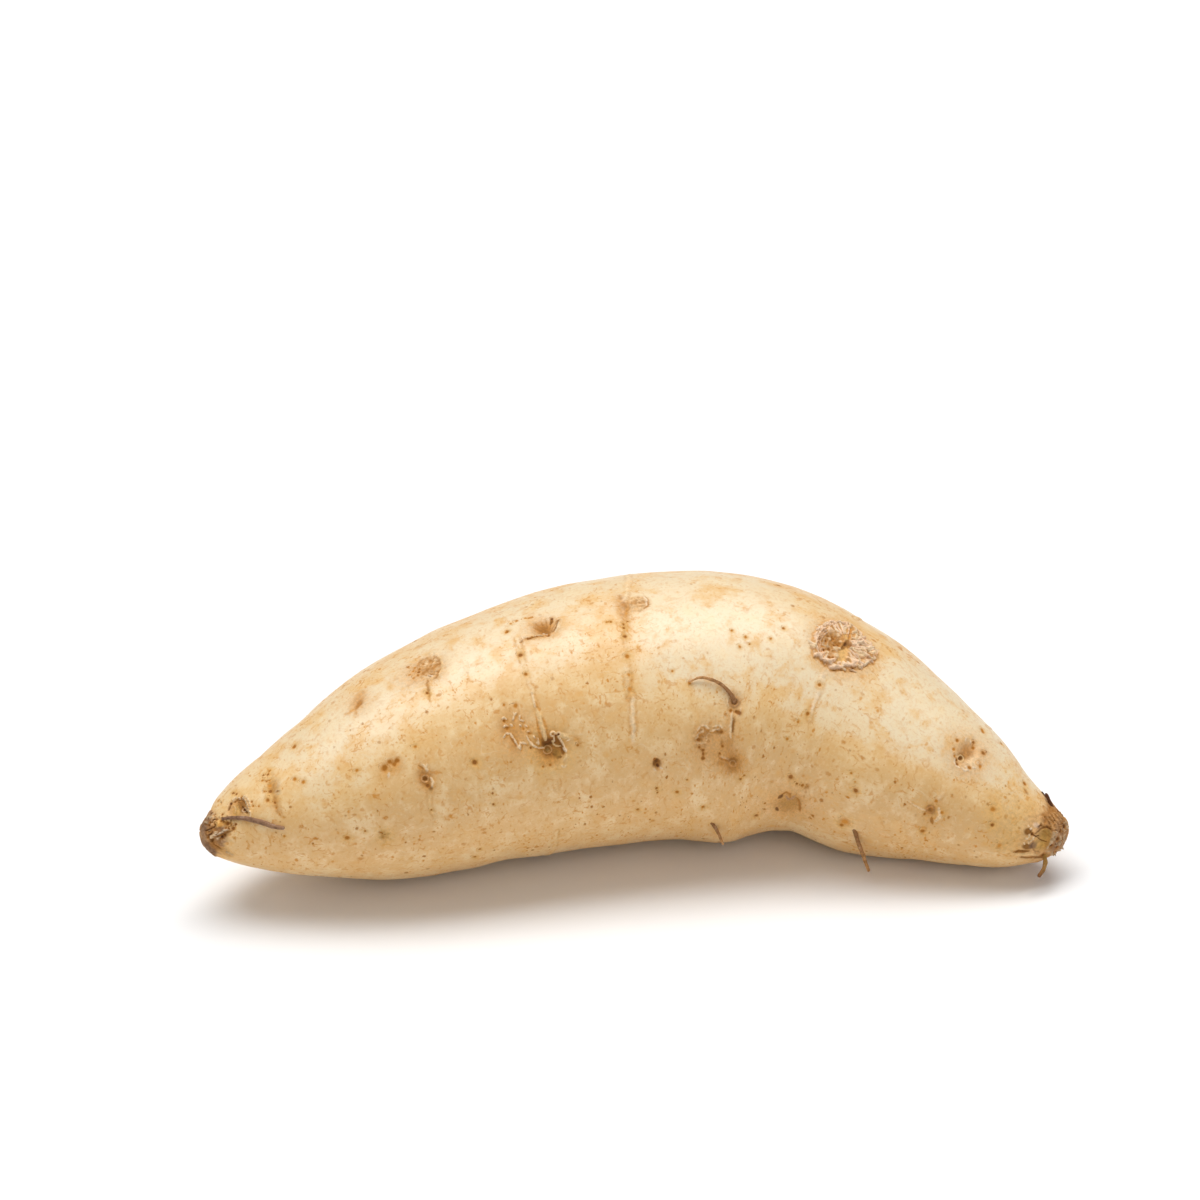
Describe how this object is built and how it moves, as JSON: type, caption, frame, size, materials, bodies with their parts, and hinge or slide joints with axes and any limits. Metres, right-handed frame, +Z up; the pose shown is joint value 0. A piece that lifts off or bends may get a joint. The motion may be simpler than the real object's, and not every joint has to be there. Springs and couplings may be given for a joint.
{
  "type": "white sweet potato",
  "caption": "Whole raw white sweet potato: a bent, tapering root with cream skin, corky scars, dimpled eyes, scabbed tips and thin rootlets, lying on its side.",
  "frame": {"origin": "on the surface the root rests on, under the middle of its bounding box", "axes": "+X runs from the stem-end tip to the root-end tip, +Y towards the outside of the bend, +Z up"},
  "size_m": [0.2008, 0.0776, 0.0629],
  "materials": {
    "skin": "matte"
  },
  "bodies": {
    "root": {"sweet_potato": "skin"}
  },
  "joints": []
}
